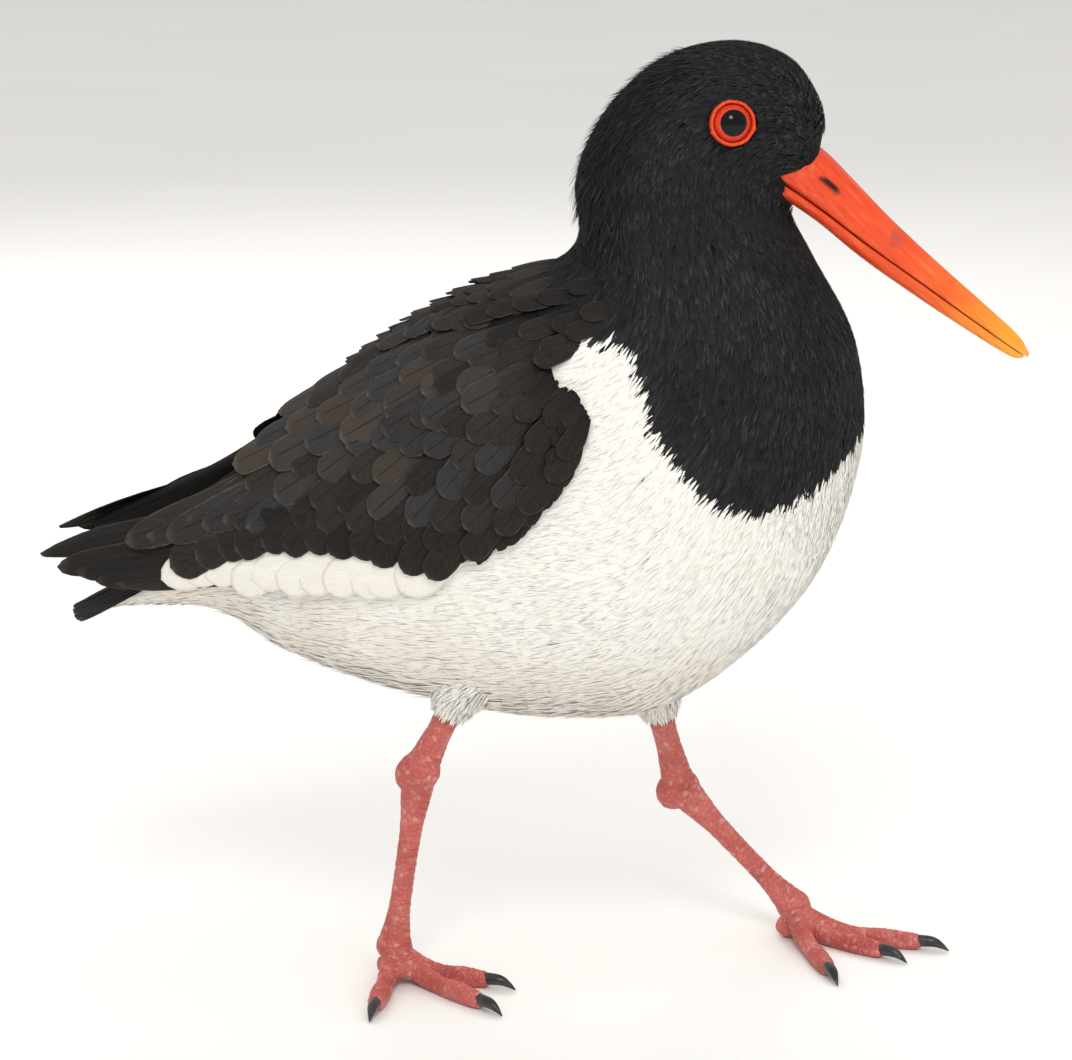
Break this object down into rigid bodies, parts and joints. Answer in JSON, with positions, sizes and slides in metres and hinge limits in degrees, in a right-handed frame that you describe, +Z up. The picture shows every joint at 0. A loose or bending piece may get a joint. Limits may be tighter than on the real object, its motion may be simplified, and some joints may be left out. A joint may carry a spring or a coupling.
{
  "type": "oystercatcher figure",
  "caption": "Life-size still figure of a walking oystercatcher: black and white wader with a long bill pointing down, folded wings and both feet on the floor.",
  "frame": {"origin": "on the floor under the middle of the bounding box", "axes": "+X towards the bill, +Y the bird's left side, +Z up"},
  "size_m": [0.2922, 0.1084, 0.2852],
  "materials": {
    "black_feathers": "matt black feathers with a soft sheen",
    "belly_feathers": "matt warm white feathers",
    "bill": "satin orange-red horn, yellower at the tip",
    "eyelid": "satin orange-red skin",
    "iris": "wet gloss, deep red round a black pupil",
    "bare_leg": "satin scaly pink skin",
    "horn": "satin dark grey horn"
  },
  "bodies": {
    "root": {"torso": "belly_feathers", "neck": "black_feathers", "head": "black_feathers", "bill_upper": "bill", "bill_lower": "bill", "tail": "black_feathers", "eye_right": "iris", "eyelid_right": "eyelid", "wing_right": "black_feathers", "thigh_right": "belly_feathers", "tibia_right": "bare_leg", "tarsus_right": "bare_leg", "toe_right_inner": "bare_leg", "claw_right_inner": "horn", "toe_right_middle": "bare_leg", "claw_right_middle": "horn", "toe_right_outer": "bare_leg", "claw_right_outer": "horn", "eye_left": "iris", "eyelid_left": "eyelid", "wing_left": "black_feathers", "thigh_left": "belly_feathers", "tibia_left": "bare_leg", "tarsus_left": "bare_leg", "toe_left_inner": "bare_leg", "claw_left_inner": "horn", "toe_left_middle": "bare_leg", "claw_left_middle": "horn", "toe_left_outer": "bare_leg", "claw_left_outer": "horn"}
  },
  "joints": []
}
